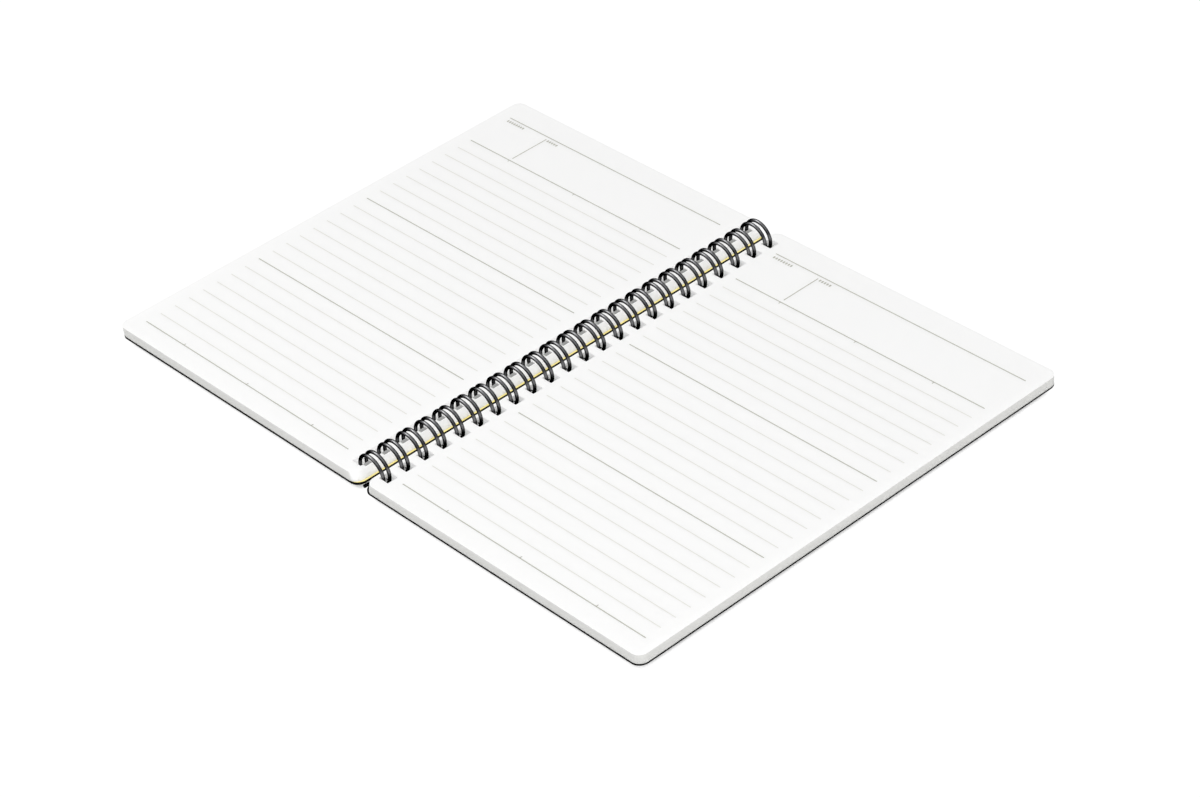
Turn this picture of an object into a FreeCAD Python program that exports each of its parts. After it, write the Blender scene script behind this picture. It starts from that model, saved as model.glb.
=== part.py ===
"""Twin-loop wire-bound notebook, lying open at its middle.

The object is an A5 notebook with a ruled block of pages, a coloured flyleaf
and two plastic covers, all punched along the spine and held by one wire comb
of double loops. It is modelled open and flat, as it lies on a desk.

Frame: X runs across the spread, Y along the spine towards the head of the
pages, Z up. The origin lies under the middle of the spine, at the height of
the lowest point of the loops, which stand on the desk. Millimetres.
"""
import FreeCAD, Part

import math
import os

import Sketcher

V = FreeCAD.Vector

# Driving dimensions: alias, value, what it is.
SIZES = [
    ("page_width", 147.8, "width of the top sheet, A5"),
    ("page_height", 210.0, "height of one sheet, A5"),
    ("page_corner", 4.0, "radius of the rounded sheet corners"),
    ("pages_thickness", 4.1, "half of the leaves, pressed"),
    ("pages_lean", 1.2, "how far the lowest sheet is drawn in along the loops"),
    ("fore_lean", 0.25, "how far the fore-edge of the lowest sheet lies further in"),
    ("spine_edge", 3.7, "spine edge of the top sheet, from the middle"),
    ("slot_height", 4.7, "punched slot, along the spine"),
    ("slot_inner", 5.4, "near edge of the slot in the top sheet, from the middle"),
    ("slot_outer", 10.45, "far edge of the slot in the top sheet, from the middle"),
    ("slot_draw", 2.1, "how far the slots step in down to the lowest sheet"),
    ("flyleaf_thickness", 0.15, "coloured sheet behind the front cover"),
    ("flyleaf_lead", 0.7, "flyleaf beyond the lowest page at the spine"),
    ("flyleaf_inset", 0.3, "flyleaf within the pages at head and foot"),
    ("flyleaf_slot_inner", 3.1, "near edge of the slot in the flyleaf"),
    ("cover_thickness", 0.7, "plastic cover sheet"),
    ("cover_overhang", 0.15, "cover beyond the pages at head and foot"),
    ("cover_spine_edge", 1.4, "spine edge of a cover, from the middle"),
    ("cover_width", 149.85, "width of a cover"),
    ("cover_slot_inner", 2.1, "near edge of the slot in a cover"),
    ("cover_slot_outer", 9.6, "far edge of the slot in a cover"),
    ("loop_pitch", 8.85, "from one double loop to the next"),
    ("loop_radius", 6.7, "middle line of the wire in a loop"),
    ("loop_chords", 12, "straight chords that one wire of a loop is bent in"),
    ("wire_diameter", 1.45, "coated wire"),
    ("wire_flats", 6, "flats that stand for the round of the wire"),
    ("hairpin_width", 2.85, "between the two wires of a double loop"),
    ("bend_reach", 0.95, "how far the corners of the wire are cut by their bends"),
    ("base_angle", -110.0, "where the comb's spine lies on the loop, degrees"),
    ("closing_gap", 0.6, "between a hairpin's tip and the comb's spine"),
    ("loop_centre_rise", 4.45, "loop centre above the undersides of the covers"),
]


def make_sheet(doc):
    """The spreadsheet that holds the driving dimensions."""
    sheet = doc.addObject("Spreadsheet::Sheet", "Sizes")
    for row, (alias, value, meaning) in enumerate(SIZES, start=1):
        sheet.set(f"A{row}", meaning)
        sheet.set(f"B{row}", str(value))
        sheet.setAlias(f"B{row}", alias)
    add_derived(sheet, len(SIZES) + 2)
    doc.recompute()
    return sheet


def add_derived(sheet, first_row):
    """Heights and places that follow from the driving dimensions."""
    derived = [
        ("loop_centre", "=loop_radius + wire_diameter / 2"),
        ("cover_underside", "=loop_centre - loop_centre_rise"),
        ("cover_top", "=cover_underside + cover_thickness"),
        ("low_spine_edge", "=spine_edge - pages_lean"),
        ("low_width", "=page_width + pages_lean - fore_lean"),
        ("flyleaf_spine_edge", "=low_spine_edge - flyleaf_lead"),
        ("loop_count", "=floor(page_height / loop_pitch)"),
        ("first_loop", "=-loop_pitch * (loop_count - 1) / 2"),
    ]
    for row, (alias, formula) in enumerate(derived, start=first_row):
        sheet.set(f"A{row}", alias.replace("_", " "))
        sheet.set(f"B{row}", formula)
        sheet.setAlias(f"B{row}", alias)


def plane_of(body, role):
    """One of a body's own origin planes."""
    return next(f for f in body.Origin.OriginFeatures if f.Role == role)


def bind(sketch, index, name, expression):
    """Name a dimension of a sketch and tie it to the sheet."""
    sketch.renameConstraint(index, name)
    sketch.setExpression(f"Constraints.{name}", expression)


def rounded_outline(body, sheet, near, width, height, corner, level, role="outline"):
    """Sketch of a sheet with round corners, on the +X side of the spine.

    near, width, height and corner are formulas in the sheet's aliases, and
    level is the height of the sketch above the desk.
    """
    sketch = body.newObject("Sketcher::SketchObject", f"{body.Name}_{role}")
    sketch.AttachmentSupport = [(plane_of(body, "XY_Plane"), "")]
    sketch.MapMode = "FlatFace"
    sketch.setExpression("AttachmentOffset.Base.z", level)
    x0, span, tall, r = (number_of(sheet, f) for f in (near, width, height, corner))
    x1, y1 = x0 + span, tall / 2
    half_turn, quarter = math.pi, math.pi / 2
    line, circle = Part.LineSegment, Part.Circle
    up = V(0, 0, 1)
    sketch.addGeometry([
        line(V(x0 + r, -y1, 0), V(x1 - r, -y1, 0)),
        Part.ArcOfCircle(circle(V(x1 - r, -y1 + r, 0), up, r), -quarter, 0),
        line(V(x1, -y1 + r, 0), V(x1, y1 - r, 0)),
        Part.ArcOfCircle(circle(V(x1 - r, y1 - r, 0), up, r), 0, quarter),
        line(V(x1 - r, y1, 0), V(x0 + r, y1, 0)),
        Part.ArcOfCircle(circle(V(x0 + r, y1 - r, 0), up, r), quarter, half_turn),
        line(V(x0, y1 - r, 0), V(x0, -y1 + r, 0)),
        Part.ArcOfCircle(circle(V(x0 + r, -y1 + r, 0), up, r), half_turn, -quarter),
    ], False)
    rule = Sketcher.Constraint
    for edge in range(8):
        sketch.addConstraint(rule("Tangent", edge, 2, (edge + 1) % 8, 1))
    for edge in (0, 4):
        sketch.addConstraint(rule("Horizontal", edge))
    for edge in (2, 6):
        sketch.addConstraint(rule("Vertical", edge))
    for arc in (3, 5, 7):
        sketch.addConstraint(rule("Equal", 1, arc))
    bind(sketch, sketch.addConstraint(rule("Radius", 1, r)), "corner", corner)
    bind(sketch, sketch.addConstraint(rule("DistanceX", -1, 1, 6, 1, x0)), "near", near)
    bind(sketch, sketch.addConstraint(rule("DistanceX", 6, 1, 2, 1, span)), "width", width)
    straight = f"({height}) / 2 - ({corner})"
    bind(sketch, sketch.addConstraint(rule("DistanceY", -1, 1, 2, 2, y1 - r)), "above", straight)
    bind(sketch, sketch.addConstraint(rule("DistanceY", 2, 1, -1, 1, y1 - r)), "below", straight)
    return sketch


def number_of(sheet, formula):
    """Value of a formula such as "Sizes.page_height + 2 * Sizes.cover_overhang"."""
    total = 0.0
    for term in formula.replace(" - ", " + -").split(" + "):
        product = 1.0
        for factor in term.split(" * "):
            sign = -1.0 if factor.startswith("-") else 1.0
            factor = factor.lstrip("-")
            if factor.startswith("Sizes."):
                product *= sign * float(getattr(sheet, factor[len("Sizes."):]))
            else:
                product *= sign * float(factor)
        total += product
    return total


def slot_profile(body, sheet, bottom, top, corners):
    """Sketch of one punched slot, seen along the spine.

    corners are the formulas of the slot's near and far edges below, then of
    its near and far edges above. The slot leans because each sheet is drawn
    in along the loops.
    """
    sketch = body.newObject("Sketcher::SketchObject", body.Name + "_slot")
    sketch.AttachmentSupport = [(plane_of(body, "XZ_Plane"), "")]
    sketch.MapMode = "FlatFace"
    sketch.setExpression("AttachmentOffset.Base.z", "-Sizes.first_loop")
    z0, z1 = number_of(sheet, bottom), number_of(sheet, top)
    near_low, far_low, near_high, far_high = (number_of(sheet, f) for f in corners)
    points = [V(near_low, z0, 0), V(far_low, z0, 0), V(far_high, z1, 0), V(near_high, z1, 0)]
    rule = Sketcher.Constraint
    for here, there in zip(points, points[1:] + points[:1]):
        sketch.addGeometry(Part.LineSegment(here, there), False)
    for edge in range(4):
        sketch.addConstraint(rule("Coincident", edge, 2, (edge + 1) % 4, 1))
    sketch.addConstraint(rule("Horizontal", 0))
    sketch.addConstraint(rule("Horizontal", 2))
    places = [("near_low", 0, 1, near_low, corners[0]), ("far_low", 1, 1, far_low, corners[1]),
              ("far_high", 2, 1, far_high, corners[3]), ("near_high", 3, 1, near_high, corners[2])]
    for name, edge, point, place, formula in places:
        index = sketch.addConstraint(rule("DistanceX", -1, 1, edge, point, place))
        bind(sketch, index, name, formula)
    bind(sketch, sketch.addConstraint(rule("DistanceY", -1, 1, 0, 1, z0)), "bottom", bottom)
    bind(sketch, sketch.addConstraint(rule("DistanceY", -1, 1, 2, 1, z1)), "top", top)
    return sketch


def flat_sheet(body, sheet, outline, level, thickness):
    """One sheet of even outline."""
    blank = body.newObject("PartDesign::Pad", body.Name + "_blank")
    blank.Profile = rounded_outline(body, sheet, *outline, level)
    blank.setExpression("Length", thickness)


def leaning_stack(body, sheet, outline, upper_outline, level, thickness):
    """Many sheets, from the outline of the lowest to that of the top one."""
    lower = rounded_outline(body, sheet, *outline, level)
    upper = rounded_outline(body, sheet, *upper_outline, f"{level} + {thickness}", "top_outline")
    stack = body.newObject("PartDesign::AdditiveLoft", body.Name + "_stack")
    stack.Profile = lower
    stack.Sections = [upper]
    stack.Ruled = True


def punched_sheets(doc, sheet, name, outline, level, thickness, corners, upper_outline=None):
    """A body of one or more sheets on the +X side, punched for every loop."""
    body = doc.addObject("PartDesign::Body", name)
    if upper_outline:
        leaning_stack(body, sheet, outline, upper_outline, level, thickness)
    else:
        flat_sheet(body, sheet, outline, level, thickness)
    doc.recompute()
    slot = body.newObject("PartDesign::Pocket", name + "_first_slot")
    slot.Profile = slot_profile(body, sheet, level, f"{level} + {thickness}", corners)
    slot.SideType = "Symmetric"
    slot.setExpression("Length", "Sizes.slot_height")
    doc.recompute()
    row = body.newObject("PartDesign::LinearPattern", name + "_slots")
    row.Originals = [slot]
    row.Direction = (plane_of(body, "Y_Axis"), [""])
    row.Mode = "Spacing"
    row.setExpression("Offset", "Sizes.loop_pitch")
    row.setExpression("Occurrences", "Sizes.loop_count")
    body.Tip = row
    doc.recompute()
    return body


def mirrored(doc, source, name, lift):
    """The same piece on the -X side, raised by lift."""
    other = doc.addObject("Part::Mirroring", name)
    other.Source = source
    other.Normal = V(1, 0, 0)
    other.setExpression("Base.z", "0")
    if lift:
        other.setExpression("Placement.Base.z", lift)
    return other


def loop_path(sheet):
    """Corner points of the comb's middle line, from foot to head.

    A hairpin rises from the comb's spine, goes round the circle in straight
    chords, turns back at its tip, comes down beside itself and goes on along
    the spine to the next hairpin.
    """
    radius = float(sheet.loop_radius)
    reach = float(sheet.bend_reach)
    half_pin = float(sheet.hairpin_width) / 2
    pitch = float(sheet.loop_pitch)
    chords = int(sheet.loop_chords)
    count = int(sheet.loop_count)
    base = math.radians(float(sheet.base_angle))
    closing = (float(sheet.wire_diameter) + float(sheet.closing_gap)) / radius
    tip = base + 2 * math.pi - closing
    first, last = base + reach / radius, tip - reach / radius
    # Chords lie as far inside the true circle as their corners lie outside.
    step = (last - first) / chords
    corner_radius = 2 * radius / (1 + math.cos(step / 2))

    def on_loop(angle, along, reach_out=radius):
        return V(reach_out * math.cos(angle), along, float(sheet.loop_centre) + reach_out * math.sin(angle))

    angles = [first + step * i for i in range(chords + 1)]
    points = [on_loop(base, float(sheet.first_loop) - pitch / 2)]
    for index in range(count):
        middle = float(sheet.first_loop) + pitch * index
        near, far = middle - half_pin, middle + half_pin
        points.append(on_loop(base, near - reach))
        points += [on_loop(a, near, corner_radius) for a in angles]
        points.append(on_loop(tip, near + reach))
        points.append(on_loop(tip, far - reach))
        points += [on_loop(a, far, corner_radius) for a in reversed(angles)]
        points.append(on_loop(base, far + reach))
    points.append(on_loop(base, -points[0].y))
    return points


def binding_comb(doc, sheet):
    """The wire comb: a flat-sided wire carried along its middle line."""
    points = loop_path(sheet)
    radius = float(sheet.wire_diameter) / 2
    flats = int(sheet.wire_flats)
    ring = [V(radius * math.cos(2 * math.pi * i / flats), 0, radius * math.sin(2 * math.pi * i / flats))
            + points[0] for i in range(flats)]
    faces = [Part.Face(Part.makePolygon(ring + ring[:1]))]
    for index in range(1, len(points)):
        along = (points[index] - points[index - 1]).normalize()
        if index < len(points) - 1:
            after = (points[index + 1] - points[index]).normalize()
            cut = (along + after).normalize()
        else:
            cut = along
        following = [p + along * ((points[index] - p).dot(cut) / along.dot(cut)) for p in ring]
        for i in range(flats):
            j = (i + 1) % flats
            faces.append(Part.Face(Part.makePolygon([ring[i], ring[j], following[j], following[i], ring[i]])))
        ring = following
    faces.append(Part.Face(Part.makePolygon(ring + ring[:1])))
    shell = Part.Shell(faces)
    comb = doc.addObject("Part::Feature", "binding_wire")
    comb.Shape = Part.Solid(shell)
    return comb


def check(doc, pieces):
    """Stop if any object failed or any piece is not one sound solid."""
    for item in doc.Objects:
        if "Invalid" in item.State or "Error" in item.State:
            raise RuntimeError(f"{item.Label} failed: {item.State}")
    for piece in pieces:
        shape = piece.Shape
        if shape.isNull() or not shape.isValid() or len(shape.Solids) != 1:
            raise RuntimeError(f"{piece.Label} is not one valid solid")
        box = shape.BoundBox
        print(f"{piece.Label}: {shape.Volume:.1f} mm3, x {box.XMin:.2f} {box.XMax:.2f}, "
              f"y {box.YMin:.2f} {box.YMax:.2f}, z {box.ZMin:.3f} {box.ZMax:.3f}")


def main():
    doc = FreeCAD.newDocument("notebook")
    sheet = make_sheet(doc)
    low_page = ("Sizes.low_spine_edge", "Sizes.low_width", "Sizes.page_height", "Sizes.page_corner")
    top_page = ("Sizes.spine_edge", "Sizes.page_width", "Sizes.page_height", "Sizes.page_corner")
    leaf = ("Sizes.flyleaf_spine_edge", "Sizes.page_width",
            "Sizes.page_height - 2 * Sizes.flyleaf_inset", "Sizes.page_corner")
    board = ("Sizes.cover_spine_edge", "Sizes.cover_width", "Sizes.page_height + 2 * Sizes.cover_overhang",
             "Sizes.page_corner + Sizes.cover_overhang")
    low_inner = "Sizes.slot_inner - Sizes.slot_draw"
    low_outer = "Sizes.slot_outer - Sizes.pages_lean"

    right_pages = punched_sheets(
        doc, sheet, "right_pages", low_page, "Sizes.cover_top", "Sizes.pages_thickness",
        (low_inner, low_outer, "Sizes.slot_inner", "Sizes.slot_outer"), top_page)
    back_cover = punched_sheets(
        doc, sheet, "back_cover", board, "Sizes.cover_underside", "Sizes.cover_thickness",
        ("Sizes.cover_slot_inner", "Sizes.cover_slot_outer") * 2)
    flyleaf_sheet = punched_sheets(
        doc, sheet, "flyleaf_sheet", leaf, "Sizes.cover_top", "Sizes.flyleaf_thickness",
        ("Sizes.flyleaf_slot_inner", low_outer) * 2)
    pieces = [
        mirrored(doc, back_cover, "front_cover", ""),
        mirrored(doc, flyleaf_sheet, "flyleaf", ""),
        mirrored(doc, right_pages, "left_pages", "Sizes.flyleaf_thickness"),
        right_pages,
        back_cover,
        binding_comb(doc, sheet),
    ]
    doc.recompute()
    check(doc, pieces)
    os.makedirs("parts", exist_ok=True)
    for piece in pieces:
        piece.Shape.exportStep(f"parts/{piece.Label}.step")


main()
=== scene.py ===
"""Looks of an open twin-loop notebook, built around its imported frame.

The covers, the flyleaf and the two stacks of pages are the frame's own
meshes with worked-out papers and plastics. The wire comb is drawn again,
round and smooth. The ruling and the heading are thin raised prints that
lie on the pages and turn with them.

Lengths in the dataclasses are millimetres, as they are on the real thing,
and are turned to metres where a mesh is made.
"""
import logging
import math
from dataclasses import dataclass
from enum import Enum
from typing import Any, Optional, Sequence

import bpy
import numpy as np
from mathutils import Matrix, Vector

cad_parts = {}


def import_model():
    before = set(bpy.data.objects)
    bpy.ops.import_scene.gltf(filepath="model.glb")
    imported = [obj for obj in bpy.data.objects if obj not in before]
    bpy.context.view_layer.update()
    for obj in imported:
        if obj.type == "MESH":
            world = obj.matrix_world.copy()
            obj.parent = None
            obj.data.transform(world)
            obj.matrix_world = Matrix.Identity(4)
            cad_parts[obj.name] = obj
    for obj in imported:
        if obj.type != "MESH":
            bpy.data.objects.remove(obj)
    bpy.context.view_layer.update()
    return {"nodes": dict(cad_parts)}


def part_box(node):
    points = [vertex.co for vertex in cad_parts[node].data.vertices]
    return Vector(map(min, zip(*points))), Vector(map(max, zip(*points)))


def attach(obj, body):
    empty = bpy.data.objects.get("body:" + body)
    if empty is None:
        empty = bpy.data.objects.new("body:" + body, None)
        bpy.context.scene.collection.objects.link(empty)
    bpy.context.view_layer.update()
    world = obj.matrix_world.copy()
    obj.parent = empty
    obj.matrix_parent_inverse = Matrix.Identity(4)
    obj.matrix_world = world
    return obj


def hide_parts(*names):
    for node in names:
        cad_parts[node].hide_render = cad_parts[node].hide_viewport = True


LOG = logging.getLogger("notebook")
MM = 0.001
PHOTO_WIDTH = 1200
LEVEL_FACE = 0.7  # upright part of the normal past which a face counts as level


def linear(hex_colour: str) -> tuple[float, float, float, float]:
    """Turn an sRGB hex colour to linear light.

    Args:
        hex_colour: Six hex digits, with or without a leading hash.

    Returns:
        Linear red, green and blue, and an alpha of 1.
    """
    digits = hex_colour.lstrip("#")
    coded = [int(digits[i:i + 2], 16) / 255 for i in (0, 2, 4)]
    return (*[c / 12.92 if c <= 0.04045 else ((c + 0.055) / 1.055) ** 2.4 for c in coded], 1.0)


def add_node(
    tree: bpy.types.NodeTree,
    kind: str,
    settings: Optional[dict[str, Any]] = None,
    inputs: Optional[dict[Any, Any]] = None,
) -> bpy.types.Node:
    """Add one node to a tree with its settings, values and links.

    Args:
        tree: Node tree that the node goes into.
        kind: Blender's name of the node type.
        settings: Properties of the node itself.
        inputs: Input name or number to a value, or to the socket that feeds it.

    Returns:
        The new node.
    """
    node = tree.nodes.new(kind)
    for name, value in (settings or {}).items():
        setattr(node, name, value)
    for name, value in (inputs or {}).items():
        if isinstance(value, bpy.types.NodeSocket):
            tree.links.new(value, node.inputs[name])
        else:
            node.inputs[name].default_value = value
    return node


def blank_material(name: str) -> tuple[bpy.types.Material, bpy.types.NodeTree]:
    """Make a material with an empty node tree.

    Args:
        name: Name of the finish.

    Returns:
        The material and its tree.
    """
    material = bpy.data.materials.new(name)
    material.use_nodes = True
    material.node_tree.nodes.clear()
    return material, material.node_tree


def level_share(tree: bpy.types.NodeTree, normal: bpy.types.Node) -> bpy.types.NodeSocket:
    """Tell the level faces of a sheet or a stack from its cut walls.

    Args:
        tree: Node tree of the finish.
        normal: The parts of its object normal.

    Returns:
        Socket that is 1 on a level face and 0 on a wall.
    """
    upright = add_node(tree, "ShaderNodeMath", {"operation": "ABSOLUTE"},
                       {0: normal.outputs["Z"]})
    level = add_node(tree, "ShaderNodeMath", {"operation": "GREATER_THAN"},
                     {0: upright.outputs[0], 1: LEVEL_FACE})
    return level.outputs[0]


def dress(piece: bpy.types.Object, material: bpy.types.Material) -> None:
    """Give every face of a piece one material."""
    piece.data.materials.clear()
    piece.data.materials.append(material)


def link_mesh(name: str, vertices: np.ndarray, faces: Sequence, smooth: bool) -> bpy.types.Object:
    """Make an object at the origin from points in millimetres.

    Args:
        name: Name of the piece.
        vertices: Points, one row each.
        faces: Corner numbers of each face, counter-clockwise seen from outside.
        smooth: Whether the faces shade smoothly into each other.

    Returns:
        The linked object.
    """
    mesh = bpy.data.meshes.new(name)
    mesh.from_pydata((vertices * MM).tolist(), [], faces)
    mesh.polygons.foreach_set("use_smooth", np.full(len(mesh.polygons), smooth))
    mesh.update()
    piece = bpy.data.objects.new(name, mesh)
    bpy.context.scene.collection.objects.link(piece)
    return piece


class Side(Enum):
    """The two halves of the open notebook: first word of names, body and frame node."""

    LEFT = ("left", "front_leaves", "left_pages")
    RIGHT = ("right", "back_leaves", "right_pages")

    @property
    def word(self) -> str:
        """Word that starts the names of this half's prints."""
        return self.value[0]

    @property
    def body(self) -> str:
        """Body that this half's leaves turn with."""
        return self.value[1]

    @property
    def node(self) -> str:
        """Frame node of this half's stack of pages."""
        return self.value[2]


@dataclass(frozen=True)
class WritingPaper:
    """Uncoated writing paper in a pressed, trimmed stack.

    White and quite matt, and it lets a little light through. The trimmed
    edges show the sheets as fine level streaks, greyer than the face: the
    grey is painted shade. At the spine the sheets are fanned along the loops;
    these walls and the slot walls stay pale as painted light. A real sheet
    is 0.1 mm thick and too fine to show, so a streak stands for a few. A soft
    grey patch beside each left slot is a painted shadow of the loop's wires.
    """

    name: str = "wood_free_writing_paper"
    face: str = "#F8F8F7"
    # Trimmed walls: greyer than the face as painted shade, with the sheets' streaks.
    shaded_wall_pale: str = "#E0E0DE"
    shaded_wall_deep: str = "#D2D2CF"
    # Walls facing the spine and slot walls: kept white as painted light.
    lit_wall_pale: str = "#FFFFFF"
    lit_wall_deep: str = "#FAFAF9"
    fan_turn: tuple[float, float] = (-0.15, -0.6)  # a wall's turn to the spine
    slot_zone: tuple[float, float] = (11.0, 100.5)  # reach of the slots along X and Y
    # Soft grey patch beside each left slot: a painted shadow of the loop's wires.
    wire_shadow: str = "#969695"
    wire_shadow_middle: tuple[float, float] = (-4.4, 0.35)
    wire_shadow_half: tuple[float, float] = (1.1, 1.7)
    wire_shadow_edge: tuple[float, float] = (0.7, 1.2)  # where a patch fades, in half sizes
    loop_pitch: float = 8.85
    roughness: float = 0.75
    sheen: float = 0.25
    streak_height: float = 0.35
    streak_length: float = 60.0
    streak_fineness: float = 0.7
    fibre: float = 0.6
    fibre_rise: float = 0.02
    fibre_strength: float = 0.08
    glow: float = 0.5
    glow_depth: float = 2.0

    def material(self) -> bpy.types.Material:
        """Build the paper: plain faces, streaked edges with painted shade and light, painted
        shadows and a faint fibre bump.

        Returns:
            The material.
        """
        material, tree = blank_material(self.name)
        place = add_node(tree, "ShaderNodeTexCoord")
        stretch = add_node(tree, "ShaderNodeMapping", inputs={
            "Vector": place.outputs["Object"],
            "Scale": (1 / (self.streak_length * MM), 1 / (self.streak_length * MM),
                      1 / (self.streak_height * MM))})
        streaks = add_node(tree, "ShaderNodeTexNoise", inputs={
            "Vector": stretch.outputs[0], "Scale": 1.0, "Detail": 3.0,
            "Roughness": self.streak_fineness})
        # Walls: painted shade on the trimmed ones, painted light on the fanned and slot walls.
        trimmed = add_node(tree, "ShaderNodeMix", {"data_type": "RGBA"}, {
            0: streaks.outputs[0], 6: linear(self.shaded_wall_deep), 7: linear(self.shaded_wall_pale)})
        fanned = add_node(tree, "ShaderNodeMix", {"data_type": "RGBA"}, {
            0: streaks.outputs[0], 6: linear(self.lit_wall_deep), 7: linear(self.lit_wall_pale)})
        normal = add_node(tree, "ShaderNodeSeparateXYZ", inputs={0: place.outputs["Normal"]})
        edge = add_node(tree, "ShaderNodeMix", {"data_type": "RGBA"}, {
            0: self.lit_wall_share(tree, place, normal), 6: trimmed.outputs[2],
            7: fanned.outputs[2]})
        # Level faces, with the painted wire shadows.
        face = add_node(tree, "ShaderNodeMix", {"data_type": "RGBA"}, {
            0: self.wire_shadow_share(tree, place), 6: linear(self.face), 7: linear(self.wire_shadow)})
        colour = add_node(tree, "ShaderNodeMix", {"data_type": "RGBA"}, {
            0: level_share(tree, normal), 6: edge.outputs[2], 7: face.outputs[2]})
        fibres = add_node(tree, "ShaderNodeTexNoise", inputs={
            "Vector": place.outputs["Object"], "Scale": 1 / (self.fibre * MM), "Detail": 4.0})
        bump = add_node(tree, "ShaderNodeBump", inputs={
            "Strength": self.fibre_strength, "Distance": self.fibre_rise * MM,
            "Height": fibres.outputs[0]})
        paper = add_node(tree, "ShaderNodeBsdfPrincipled", inputs={
            "Base Color": colour.outputs[2], "Roughness": self.roughness,
            "Specular IOR Level": self.sheen, "Subsurface Weight": self.glow,
            "Subsurface Radius": (1.0, 1.0, 1.0), "Subsurface Scale": self.glow_depth * MM,
            "Normal": bump.outputs[0]})
        add_node(tree, "ShaderNodeOutputMaterial", inputs={0: paper.outputs[0]})
        return material

    def wire_shadow_share(self, tree: bpy.types.NodeTree,
                     place: bpy.types.Node) -> bpy.types.NodeSocket:
        """Share of painted shadow: soft patches beside the left slots, one a loop, for its wires.

        Args:
            tree: The paper's node tree.
            place: Its texture coordinates.

        Returns:
            Socket from 0, unshaded, to 1, painted shadow.
        """
        spot = add_node(tree, "ShaderNodeSeparateXYZ", inputs={0: place.outputs["Object"]})
        across, along = ({0: spot.outputs[axis], 1: middle * MM}
                         for axis, middle in zip("XY", self.wire_shadow_middle))
        from_middle = add_node(tree, "ShaderNodeMath", {"operation": "SUBTRACT"}, across)
        shifted = add_node(tree, "ShaderNodeMath", {"operation": "SUBTRACT"}, along)
        in_pitch = add_node(tree, "ShaderNodeMath", {"operation": "WRAP"}, {
            0: shifted.outputs[0], 1: self.loop_pitch / 2 * MM, 2: -self.loop_pitch / 2 * MM})
        inner, outer = self.wire_shadow_edge
        bounds = []
        for offset, half in zip((from_middle, in_pitch), self.wire_shadow_half):
            away = add_node(tree, "ShaderNodeMath", {"operation": "ABSOLUTE"},
                            {0: offset.outputs[0]})
            bounds.append(add_node(
                tree, "ShaderNodeMapRange", {"interpolation_type": "SMOOTHSTEP"}, {
                    "Value": away.outputs[0], "From Min": inner * half * MM,
                    "From Max": outer * half * MM, "To Min": 1.0, "To Max": 0.0}))
        patch = add_node(tree, "ShaderNodeMath", {"operation": "MULTIPLY"}, {
            0: bounds[0].outputs[0], 1: bounds[1].outputs[0]})
        return patch.outputs[0]

    def lit_wall_share(self, tree: bpy.types.NodeTree, place: bpy.types.Node,
                     normal: bpy.types.Node) -> bpy.types.NodeSocket:
        """Share of painted light: 1 on walls that face the spine, and in the slots.

        Args:
            tree: The paper's node tree.
            place: Its texture coordinates.
            normal: The parts of its object normal.

        Returns:
            Socket from 0, trimmed walls in painted shade, to 1, walls in painted light.
        """
        spot = add_node(tree, "ShaderNodeSeparateXYZ", inputs={0: place.outputs["Object"]})
        side = add_node(tree, "ShaderNodeMath", {"operation": "SIGN"}, {0: spot.outputs["X"]})
        inward = add_node(tree, "ShaderNodeMath", {"operation": "MULTIPLY"}, {
            0: side.outputs[0], 1: normal.outputs["X"]})
        facing = add_node(tree, "ShaderNodeMapRange", {"interpolation_type": "SMOOTHSTEP"}, {
            "Value": inward.outputs[0], "From Min": self.fan_turn[0],
            "From Max": self.fan_turn[1], "To Min": 0.0, "To Max": 1.0})
        within = []
        for axis, limit in zip("XY", self.slot_zone):
            away = add_node(tree, "ShaderNodeMath", {"operation": "ABSOLUTE"},
                            {0: spot.outputs[axis]})
            within.append(add_node(tree, "ShaderNodeMath", {"operation": "LESS_THAN"},
                                   {0: away.outputs[0], 1: limit * MM}))
        slots = add_node(tree, "ShaderNodeMath", {"operation": "MULTIPLY"},
                         {0: within[0].outputs[0], 1: within[1].outputs[0]})
        either = add_node(tree, "ShaderNodeMath", {"operation": "MAXIMUM"},
                          {0: facing.outputs[0], 1: slots.outputs[0]})
        return either.outputs[0]


@dataclass(frozen=True)
class DyedPaper:
    """Paper dyed in the pulp, smooth and matt, for the flyleaf."""

    name: str = "dyed_flyleaf_paper"
    light: str = "#FFF3A6"
    deep: str = "#FCE88A"
    roughness: float = 0.65
    sheen: float = 0.3
    mottle: float = 9.0

    def material(self) -> bpy.types.Material:
        """Build the dyed paper with the faint cloudiness of its pulp.

        Returns:
            The material.
        """
        material, tree = blank_material(self.name)
        place = add_node(tree, "ShaderNodeTexCoord")
        cloud = add_node(tree, "ShaderNodeTexNoise", inputs={
            "Vector": place.outputs["Object"], "Scale": 1 / (self.mottle * MM), "Detail": 5.0})
        colour = add_node(tree, "ShaderNodeMix", {"data_type": "RGBA"}, {
            0: cloud.outputs[0], 6: linear(self.deep), 7: linear(self.light)})
        paper = add_node(tree, "ShaderNodeBsdfPrincipled", inputs={
            "Base Color": colour.outputs[2], "Roughness": self.roughness,
            "Specular IOR Level": self.sheen})
        add_node(tree, "ShaderNodeOutputMaterial", inputs={0: paper.outputs[0]})
        return material


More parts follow.
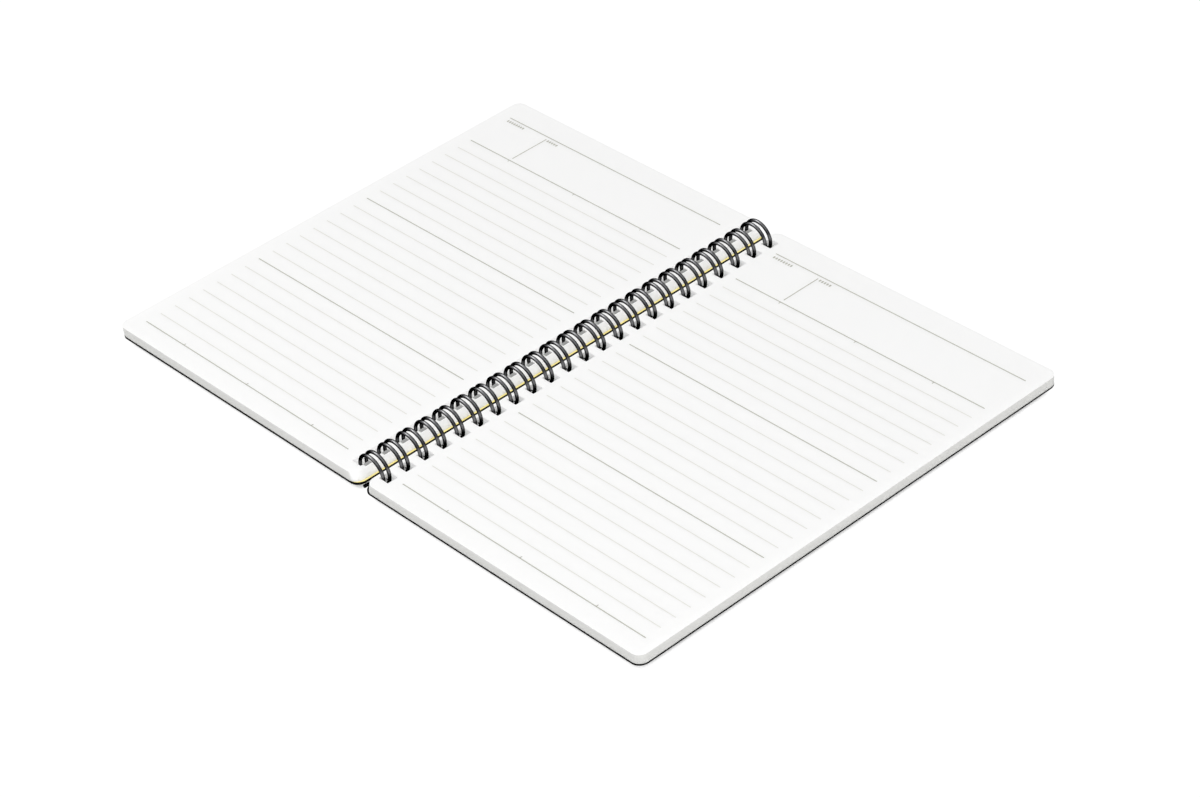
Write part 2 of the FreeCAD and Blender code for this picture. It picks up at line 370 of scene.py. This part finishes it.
@dataclass(frozen=True)
class CoverSheet:
    """Extruded black polypropylene sheet with an embossed fine matt grain.

    Its sheen is faint. The cut edges are rough from the blade; their deeper black is partly
    painted shade along the edge.
    """

    name: str = "grained_polypropylene"
    colour: str = "#060606"
    worn: str = "#0D0D0E"
    # Cut walls painted deeper black than the faces: partly painted shade along the edge.
    cut: str = "#030303"
    sheen: float = 0.03
    roughness: float = 0.6
    grain: float = 0.5
    grain_rise: float = 0.03
    grain_strength: float = 0.25
    worn_patch: float = 35.0

    def material(self) -> bpy.types.Material:
        """Build the plastic: a leathery fine grain that breaks up its sheen.

        Returns:
            The material.
        """
        material, tree = blank_material(self.name)
        place = add_node(tree, "ShaderNodeTexCoord")
        cells = add_node(tree, "ShaderNodeTexVoronoi", {"feature": "SMOOTH_F1"}, {
            "Vector": place.outputs["Object"], "Scale": 1 / (self.grain * MM)})
        patches = add_node(tree, "ShaderNodeTexNoise", inputs={
            "Vector": place.outputs["Object"], "Scale": 1 / (self.worn_patch * MM),
            "Detail": 4.0})
        colour = add_node(tree, "ShaderNodeMix", {"data_type": "RGBA"}, {
            0: patches.outputs[0], 6: linear(self.colour), 7: linear(self.worn)})
        bump = add_node(tree, "ShaderNodeBump", inputs={
            "Strength": self.grain_strength, "Distance": self.grain_rise * MM,
            "Height": cells.outputs[0]})
        normal = add_node(tree, "ShaderNodeSeparateXYZ", inputs={0: place.outputs["Normal"]})
        # Cut walls in partly painted shade, faces in the grained colour.
        shade = add_node(tree, "ShaderNodeMix", {"data_type": "RGBA"}, {
            0: level_share(tree, normal), 6: linear(self.cut), 7: colour.outputs[2]})
        plastic = add_node(tree, "ShaderNodeBsdfPrincipled", inputs={
            "Base Color": shade.outputs[2], "Roughness": self.roughness,
            "Specular IOR Level": self.sheen, "Normal": bump.outputs[0]})
        add_node(tree, "ShaderNodeOutputMaterial", inputs={0: plastic.outputs[0]})
        return material


@dataclass(frozen=True)
class LacqueredWire:
    """Drawn steel wire under a thin black lacquer.

    Light that goes straight through the lacquer comes back from the steel.
    Round its side the wire darkens to black at its edge: painted shade, in
    part the longer way that slanting light takes through the lacquer. The
    bands are a row of heights up the loops with the wire's shade there, grey
    over the crowns and black at the feet: painted highlights and reflections,
    the light and dark bands that studio light leaves on such a wire.
    """

    name: str = "black_lacquered_steel"
    # Painted highlights and reflections: the wire's shade at each height up the loops.
    painted_bands: tuple[tuple[float, str], ...] = (
        (6.9, "#0A0A0B"), (7.8, "#3E3E40"), (8.7, "#6E6E70"), (10.0, "#6E6E70"),
        (11.2, "#2D2D2F"), (12.2, "#2A2A2C"), (13.5, "#494A4B"), (14.1, "#5E5E60"),
        (14.5, "#7A7A7C"), (14.75, "#A4A4A6"))
    edge_shade_black: str = "#040405"
    edge_shade_turn: tuple[float, float] = (0.1, 0.62)  # slant over which the painted edge shade darkens it
    roughness: float = 0.22
    roughness_swing: float = 0.05
    ripple: float = 1.6
    ripple_rise: float = 0.02
    ripple_strength: float = 0.1

    def material(self) -> bpy.types.Material:
        """Build the lacquer, with the slight unevenness that dipping leaves.

        Returns:
            The material.
        """
        material, tree = blank_material(self.name)
        place = add_node(tree, "ShaderNodeTexCoord")
        uneven = add_node(tree, "ShaderNodeTexNoise", inputs={
            "Vector": place.outputs["Object"], "Scale": 1 / (self.ripple * MM), "Detail": 2.0})
        rough = add_node(tree, "ShaderNodeMapRange", inputs={
            "Value": uneven.outputs[0], "To Min": self.roughness - self.roughness_swing,
            "To Max": self.roughness + self.roughness_swing})
        bump = add_node(tree, "ShaderNodeBump", inputs={
            "Strength": self.ripple_strength, "Distance": self.ripple_rise * MM,
            "Height": uneven.outputs[0]})
        spot = add_node(tree, "ShaderNodeSeparateXYZ", inputs={0: place.outputs["Object"]})
        lowest, highest = self.painted_bands[0][0], self.painted_bands[-1][0]
        # Painted highlight and reflection bands, by height up the loops.
        height = add_node(tree, "ShaderNodeMapRange", inputs={
            "Value": spot.outputs["Z"], "From Min": lowest * MM, "From Max": highest * MM,
            "To Min": 0.0, "To Max": 1.0})
        painted_bands = add_node(tree, "ShaderNodeValToRGB", inputs={0: height.outputs[0]})
        stops = painted_bands.color_ramp.elements
        for level, shade in self.painted_bands[1:-1]:
            stops.new((level - lowest) / (highest - lowest)).color = linear(shade)
        stops[0].color, stops[-1].color = linear(self.painted_bands[0][1]), linear(self.painted_bands[-1][1])
        # Darkening round the wire's side to black at its edge: painted shade, in part the longer
        # way through the lacquer.
        slant = add_node(tree, "ShaderNodeLayerWeight", inputs={"Blend": 0.5})
        painted_edge_shade = add_node(tree, "ShaderNodeMapRange", {"interpolation_type": "SMOOTHSTEP"}, {
            "Value": slant.outputs["Facing"], "From Min": self.edge_shade_turn[0],
            "From Max": self.edge_shade_turn[1], "To Min": 0.0, "To Max": 1.0})
        shade = add_node(tree, "ShaderNodeMix", {"data_type": "RGBA"}, {
            0: painted_edge_shade.outputs[0], 6: painted_bands.outputs[0], 7: linear(self.edge_shade_black)})
        skin = add_node(tree, "ShaderNodeBsdfPrincipled", inputs={
            "Base Color": shade.outputs[2], "Metallic": 1.0, "Roughness": rough.outputs[0],
            "Specular Tint": linear(self.edge_shade_black), "Normal": bump.outputs[0]})
        add_node(tree, "ShaderNodeOutputMaterial", inputs={0: skin.outputs[0]})
        return material


@dataclass(frozen=True)
class LineInk:
    """Thin offset ink, matt and slightly uneven where the paper drinks it."""

    name: str
    colour: str
    faded: str
    uptake_grain: float = 1.2
    roughness: float = 0.7
    sheen: float = 0.2

    def material(self) -> bpy.types.Material:
        """Build the ink with its fine unevenness.

        Returns:
            The material.
        """
        material, tree = blank_material(self.name)
        place = add_node(tree, "ShaderNodeTexCoord")
        uptake = add_node(tree, "ShaderNodeTexNoise", inputs={
            "Vector": place.outputs["Object"], "Scale": 1 / (self.uptake_grain * MM),
            "Detail": 3.0})
        colour = add_node(tree, "ShaderNodeMix", {"data_type": "RGBA"}, {
            0: uptake.outputs[0], 6: linear(self.colour), 7: linear(self.faded)})
        ink = add_node(tree, "ShaderNodeBsdfPrincipled", inputs={
            "Base Color": colour.outputs[2], "Roughness": self.roughness,
            "Specular IOR Level": self.sheen})
        add_node(tree, "ShaderNodeOutputMaterial", inputs={0: ink.outputs[0]})
        return material


@dataclass
class WireComb:
    """One wire bent into a row of double loops on a common spine.

    The wire is first bent flat, as a row of hairpins, and then rolled round
    a cylinder: a point at distance u from the spine and y along it ends up
    at the angle base + u / radius.
    """

    loops: int = 23
    pitch: float = 8.85
    radius: float = 6.7
    wire: float = 1.45
    hairpin: float = 2.85
    base_angle: float = -110.0
    closing_gap: float = 0.6
    foot_bend: float = 1.3
    centre_height: float = 7.425
    around: int = 16
    along_loop: int = 44
    along_bend: int = 8

    def flat_hairpin(self) -> np.ndarray:
        """Middle line of one hairpin as bent flat, from rod middle to rod middle.

        A straight rod, a quarter circle off it, a straight leg, a half circle
        at the tip, and the same back, mirrored in the hairpin's middle.

        Returns:
            Rows of distance from the spine and place along it.
        """
        reach = 2 * math.pi * self.radius - self.wire - self.closing_gap
        half = self.hairpin / 2
        quarter = np.linspace(0, math.pi / 2, self.along_bend + 1)
        rod = np.array([[0.0, -self.pitch / 2]])
        bend = np.stack([self.foot_bend * (1 - np.cos(quarter)),
                         -half + self.foot_bend * (np.sin(quarter) - 1)], axis=1)
        leg = np.linspace(self.foot_bend, reach - half, self.along_loop + 1)[1:-1]
        leg = np.stack([leg, np.full(leg.size, -half)], axis=1)
        tip = np.stack([reach - half + half * np.sin(quarter), -half * np.cos(quarter)], axis=1)
        outward = np.concatenate([rod, bend, leg, tip])
        return np.concatenate([outward, outward[-2::-1] * (1, -1)])

    def middle_line(self) -> np.ndarray:
        """Flat middle line of the whole comb, the hairpin repeated along the spine.

        Returns:
            Rows of distance from the spine and place along it.
        """
        one = self.flat_hairpin()
        steps = (np.arange(self.loops) - (self.loops - 1) / 2) * self.pitch
        every = one[None, :-1] + np.stack([np.zeros(self.loops), steps], axis=1)[:, None]
        return np.concatenate([every.reshape(-1, 2), one[-1:] + (0, steps[-1])])

    def surface(self) -> np.ndarray:
        """Round wire carried along the rolled middle line.

        Each ring lies square to the line, spanned by the direction out of the
        cylinder and the one square to both it and the line.

        Returns:
            Points by place along the wire and angle round it.
        """
        flat = self.middle_line()
        angle = math.radians(self.base_angle) + flat[:, 0] / self.radius
        out = np.stack([np.cos(angle), np.zeros(angle.size), np.sin(angle)], axis=1)
        centre = self.radius * out + np.stack(
            [np.zeros(angle.size), flat[:, 1], np.full(angle.size, self.centre_height)], axis=1)
        ahead = np.gradient(centre, axis=0)
        ahead -= (ahead * out).sum(axis=1, keepdims=True) * out
        ahead /= np.linalg.norm(ahead, axis=1, keepdims=True)
        across = np.cross(ahead, out)
        turn = np.linspace(0, 2 * math.pi, self.around, endpoint=False)
        ring = np.cos(turn)[:, None] * out[:, None] + np.sin(turn)[:, None] * across[:, None]
        return centre[:, None] + self.wire / 2 * ring

    def build(self, finish: LacqueredWire) -> bpy.types.Object:
        """Make the comb, closed at both cut ends, in place of its frame node.

        It throws no shadow on the paper, as in the photo.

        Args:
            finish: The wire's lacquer.

        Returns:
            The piece.
        """
        points = self.surface()
        rings, around = points.shape[:2]
        here = np.arange(rings * around).reshape(rings, around)
        beside = np.roll(here, -1, axis=1)
        walls = np.stack([here[:-1], here[1:], beside[1:], beside[:-1]], axis=-1).reshape(-1, 4)
        faces = walls.tolist() + [here[0].tolist(), here[-1, ::-1].tolist()]
        comb = link_mesh("wire_comb", points.reshape(-1, 3), faces, smooth=True)
        comb.visible_shadow = comb.visible_diffuse = False
        dress(comb, finish.material())
        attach(comb, "comb")
        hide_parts("binding_wire")
        return comb


@dataclass
class Ruling:
    """Print on one open page: level lines, a heading box and small marks.

    Distances across the page are from the middle of the spine.
    """

    side: Side
    near: float
    far: float
    line_gap: float = 7.01
    lowest_line: float = -96.3
    lines: int = 25
    heavy_every: int = 8
    heading_top: float = 93.9
    heading_margin: float = 1.6
    columns: int = 3
    column: float = 40.2
    label_column: float = 24.8
    thin: float = 0.34
    heavy: float = 0.42
    mark: float = 1.1
    stroke_pitch: float = 1.35
    stroke_width: float = 0.75
    stroke_height: float = 1.2
    left_strokes: tuple[float, int] = (0.8, 8)  # inset and count
    label_strokes: tuple[float, int] = (1.2, 5)  # the same, from the divider
    ink_rise: float = 0.02
    ink_root: float = 0.01

    def across(self, distance: float) -> float:
        """Place along X of a distance from the page's left-hand line end."""
        start = self.near if self.side is Side.RIGHT else -self.far
        return start + distance

    def line_heights(self) -> np.ndarray:
        """Places of the level lines along Y, from the foot."""
        return self.lowest_line + self.line_gap * np.arange(self.lines)

    def level_strips(self, heights: np.ndarray, width: float) -> np.ndarray:
        """Full-width strips as rows of low X, high X, low Y and high Y."""
        ends = np.broadcast_to([self.across(0), self.across(self.far - self.near)],
                               (heights.size, 2))
        return np.column_stack([ends, heights - width / 2, heights + width / 2])

    def letter_strokes(self, start: float, count: int) -> np.ndarray:
        """A row of short plain strokes at the top of the heading.

        Args:
            start: Distance of the first one from the page's left-hand line end.
            count: Number of strokes.

        Returns:
            Rows of low X, high X, low Y and high Y.
        """
        left = self.across(start) + self.stroke_pitch * np.arange(count)
        top = self.heading_top - self.heading_margin
        return np.column_stack([left, left + self.stroke_width,
                                np.full(count, top - self.stroke_height), np.full(count, top)])

    def heading_strips(self) -> np.ndarray:
        """The heading's divider, the column marks and the heading's strokes.

        Returns:
            Rows of low X, high X, low Y and high Y.
        """
        heading_foot = self.line_heights()[-1]
        divider = self.across(self.label_column)
        columns = divider + self.column * np.arange(self.columns)
        sides = np.column_stack([columns - self.thin / 2, columns + self.thin / 2])
        bands = ((heading_foot - self.mark, heading_foot),
                 (self.lowest_line, self.lowest_line + self.mark))
        marks = [np.column_stack([sides, np.tile(band, (self.columns, 1))]) for band in bands]
        bar = np.array([[divider - self.heavy / 2, divider + self.heavy / 2,
                         heading_foot + self.heading_margin,
                         self.heading_top - self.heading_margin]])
        inset, count = self.label_strokes
        return np.concatenate([bar, *marks, self.letter_strokes(*self.left_strokes),
                               self.letter_strokes(self.label_column + inset, count)])

    def print_piece(self, name: str, strips: np.ndarray,
                    ink: bpy.types.Material) -> bpy.types.Object:
        """Make closed flat blocks of ink from strips, sunk a little in the paper.

        Args:
            name: Name of the piece.
            strips: Rows of low X, high X, low Y and high Y.
            ink: Finish of the print.

        Returns:
            The piece, riding with its page.
        """
        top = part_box(self.side.node)[1].z / MM
        level = np.array([top - self.ink_root, top + self.ink_rise])
        corner = np.array([[0, 2, 0], [1, 2, 0], [1, 3, 0], [0, 3, 0],
                           [0, 2, 1], [1, 2, 1], [1, 3, 1], [0, 3, 1]])
        points = np.stack([strips[:, corner[:, 0]], strips[:, corner[:, 1]],
                           np.broadcast_to(level[corner[:, 2]], (len(strips), 8))], axis=-1)
        sides = np.array([[0, 3, 2, 1], [4, 5, 6, 7], [0, 1, 5, 4],
                          [1, 2, 6, 5], [2, 3, 7, 6], [3, 0, 4, 7]])
        faces = (8 * np.arange(len(strips))[:, None, None] + sides).reshape(-1, 4).tolist()
        piece = link_mesh(name, points.reshape(-1, 3), faces, smooth=False)
        dress(piece, ink)
        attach(piece, self.side.body)
        return piece

    def build(self, pale_ink: bpy.types.Material,
              grey_ink: bpy.types.Material) -> list[bpy.types.Object]:
        """Print the pale lines, and the heavier ones with the heading.

        Args:
            pale_ink: Ink of the thin lines.
            grey_ink: Ink of the heavy lines and the heading.

        Returns:
            The two pieces.
        """
        heights = self.line_heights()
        heavy = np.arange(self.lines) % self.heavy_every == 0
        pale = self.level_strips(heights[~heavy], self.thin)
        dark = np.concatenate([
            self.level_strips(np.append(heights[heavy], self.heading_top), self.heavy),
            self.heading_strips()])
        return [self.print_piece(f"{self.side.word}_ruling", pale, pale_ink),
                self.print_piece(f"{self.side.word}_heading", dark, grey_ink)]


@dataclass(frozen=True)
class SoftLamp:
    """One rectangular lamp that looks at the middle of the table."""

    name: str
    place: tuple[float, float, float]
    length: float
    width: float
    watts: float

    def hang(self) -> None:
        """Make the lamp, its length level and its face towards the origin."""
        data = bpy.data.lights.new(self.name, "AREA")
        data.shape = "RECTANGLE"
        data.size, data.size_y = self.length * MM, self.width * MM
        data.energy = self.watts
        lamp = bpy.data.objects.new(self.name, data)
        place = Vector(self.place) * MM
        lamp.location = place
        lamp.rotation_mode = "QUATERNION"
        lamp.rotation_quaternion = (-place).to_track_quat("-Z", "Y")
        bpy.context.scene.collection.objects.link(lamp)


@dataclass
class Studio:
    """White table, white room, two soft lamps and the camera."""

    azimuth: float = 52.222
    elevation: float = 36.143
    roll: float = -7.374
    focal_pixels: float = 3441.17
    distance: float = 1285.08
    target: tuple[float, float, float] = (27.24, -11.05, 3.425)
    sensor_width: float = 36.0
    clip: tuple[float, float] = (0.05, 20.0)
    room_light: float = 0.44
    lamps: tuple[SoftLamp, ...] = (
        SoftLamp("strip_at_left", (-600.0, -600.0, 1050.0), 1600.0, 300.0, 5.0),
        SoftLamp("fill_at_right", (1536.0, -800.0, 1840.0), 2400.0, 2400.0, 45.0))
    table_size: float = 6000.0
    table_colour: str = "#F2F2F2"
    ground_white: float = 1.06
    ground_share: float = 0.95  # the rest keeps the object's shadow
    shadow_reach: float = 30.0
    shadow_edge: tuple[float, float] = (0.12, 0.22)  # openness where the ground turns white
    # Where the strip under the loops fades out, along X and along Y.
    spine_strip: tuple[tuple[float, float], ...] = ((6.0, 14.0), (94.0, 96.0))

    def camera(self) -> None:
        """Set the camera by its turn round, its height and its roll about the view."""
        turn, rise, roll = (math.radians(v) for v in (self.azimuth, self.elevation, self.roll))
        back = Vector((math.sin(turn) * math.cos(rise), -math.cos(turn) * math.cos(rise),
                       math.sin(rise)))
        right = Vector((math.cos(turn), math.sin(turn), 0))
        up = back.cross(right)
        across = right * math.cos(roll) + up * math.sin(roll)
        upward = up * math.cos(roll) - right * math.sin(roll)
        data = bpy.data.cameras.new("camera")
        data.sensor_width = self.sensor_width
        data.lens = self.focal_pixels / PHOTO_WIDTH * self.sensor_width
        data.clip_start, data.clip_end = self.clip
        camera = bpy.data.objects.new("camera", data)
        place = (Vector(self.target) + back * self.distance) * MM
        camera.matrix_world = Matrix.Translation(place) @ Matrix(
            (across, upward, back)).transposed().to_4x4()
        bpy.context.scene.collection.objects.link(camera)
        bpy.context.scene.camera = camera

    def seen_directly(self, tree: bpy.types.NodeTree) -> bpy.types.NodeSocket:
        """Tell the rays that see a surface directly from those that only light it.

        Args:
            tree: Node tree of the table or the room.

        Returns:
            Socket that is 1 for rays of the camera, a reflection or a glass.
        """
        path = add_node(tree, "ShaderNodeLightPath")
        first = add_node(tree, "ShaderNodeMath", {"operation": "MAXIMUM"}, {
            0: path.outputs["Is Camera Ray"], 1: path.outputs["Is Glossy Ray"]})
        both = add_node(tree, "ShaderNodeMath", {"operation": "MAXIMUM"}, {
            0: first.outputs[0], 1: path.outputs["Is Transmission Ray"]})
        return both.outputs[0]

    def room(self) -> None:
        """Fill the room with even white light, and show it as plain white."""
        world = bpy.data.worlds.new("white_room")
        bpy.context.scene.world = world
        world.use_nodes = True
        tree = world.node_tree
        tree.nodes.clear()
        strength = add_node(tree, "ShaderNodeMapRange", inputs={
            "Value": self.seen_directly(tree), "To Min": self.room_light, "To Max": 1.0})
        light = add_node(tree, "ShaderNodeBackground", inputs={
            "Color": (1, 1, 1, 1), "Strength": strength.outputs[0]})
        add_node(tree, "ShaderNodeOutputWorld", inputs={0: light.outputs[0]})

    def beside_spine(self, tree: bpy.types.NodeTree) -> bpy.types.NodeSocket:
        """Leave out the strip of table under the loops, which lies in their shade.

        Args:
            tree: The table's node tree.

        Returns:
            Socket that is 0 on the strip and 1 beyond it.
        """
        place = add_node(tree, "ShaderNodeTexCoord")
        spot = add_node(tree, "ShaderNodeSeparateXYZ", inputs={0: place.outputs["Object"]})
        beyond = []
        for axis, (inner, outer) in zip("XY", self.spine_strip):
            away = add_node(tree, "ShaderNodeMath", {"operation": "ABSOLUTE"},
                            {0: spot.outputs[axis]})
            beyond.append(add_node(tree, "ShaderNodeMapRange", inputs={
                "Value": away.outputs[0], "From Min": inner * MM, "From Max": outer * MM,
                "To Min": 0.0, "To Max": 1.0}))
        either = add_node(tree, "ShaderNodeMath", {"operation": "MAXIMUM"}, {
            0: beyond[0].outputs[0], 1: beyond[1].outputs[0]})
        return either.outputs[0]

    def table(self) -> None:
        """Lay a white table under the lowest point.

        In the open it shows as the plain white ground with a faint shadow.
        Close under the object it keeps its own shade.
        """
        corners = self.table_size / 2 * np.array([[-1, -1, 0], [1, -1, 0], [1, 1, 0], [-1, 1, 0]])
        floor = link_mesh("table_top", corners, [[0, 1, 2, 3]], smooth=False)
        material, tree = blank_material("matt_white_table")
        matt = add_node(tree, "ShaderNodeBsdfDiffuse", inputs={
            "Color": linear(self.table_colour)})
        ground = add_node(tree, "ShaderNodeEmission", inputs={
            "Color": (1, 1, 1, 1), "Strength": self.ground_white})
        openness = add_node(tree, "ShaderNodeAmbientOcclusion", {"samples": 8}, {
            "Distance": self.shadow_reach * MM})
        open_air = add_node(tree, "ShaderNodeMapRange", {"interpolation_type": "SMOOTHSTEP"}, {
            "Value": openness.outputs["AO"], "From Min": self.shadow_edge[0],
            "From Max": self.shadow_edge[1], "To Min": 0.0, "To Max": self.ground_share})
        shown = add_node(tree, "ShaderNodeMath", {"operation": "MULTIPLY"}, {
            0: self.seen_directly(tree), 1: open_air.outputs[0]})
        amount = add_node(tree, "ShaderNodeMath", {"operation": "MULTIPLY"}, {
            0: shown.outputs[0], 1: self.beside_spine(tree)})
        mix = add_node(tree, "ShaderNodeMixShader", inputs={
            0: amount.outputs[0], 1: matt.outputs[0], 2: ground.outputs[0]})
        add_node(tree, "ShaderNodeOutputMaterial", inputs={0: mix.outputs[0]})
        dress(floor, material)

    def build(self) -> None:
        """Set up the whole studio."""
        self.room()
        self.table()
        for lamp in self.lamps:
            lamp.hang()
        self.camera()
        bpy.context.scene.view_settings.view_transform = "Standard"


def dress_frame(nodes: dict[str, bpy.types.Object]) -> None:
    """Give the frame's own pieces their papers and plastic.

    Args:
        nodes: The frame's objects by node name.
    """
    paper, dyed, plastic = (f.material() for f in (WritingPaper(), DyedPaper(), CoverSheet()))
    finishes = {"left_pages": paper, "right_pages": paper, "flyleaf": dyed,
                "front_cover": plastic, "back_cover": plastic}
    for name, material in finishes.items():
        dress(nodes[name], material)
        LOG.info("%s dressed in %s", name, material.name)


def main() -> None:
    """Load the frame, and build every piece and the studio."""
    logging.basicConfig(level=logging.INFO, format="%(message)s")
    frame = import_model()
    dress_frame(frame["nodes"])
    inks = [ink.material() for ink in (LineInk("pale_line_ink", "#DEDDD6", "#E5E4DE"),
                                       LineInk("grey_line_ink", "#B2B2A6", "#BEBEB3"))]
    pieces = [WireComb().build(LacqueredWire())]
    pieces += Ruling(Side.LEFT, near=16.8, far=144.4).build(*inks)
    pieces += Ruling(Side.RIGHT, near=14.9, far=145.3).build(*inks)
    for piece in pieces:
        LOG.info("%s: %d faces", piece.name, len(piece.data.polygons))
    Studio().build()
    bpy.context.view_layer.update()


if __name__ == "__main__":
    main()
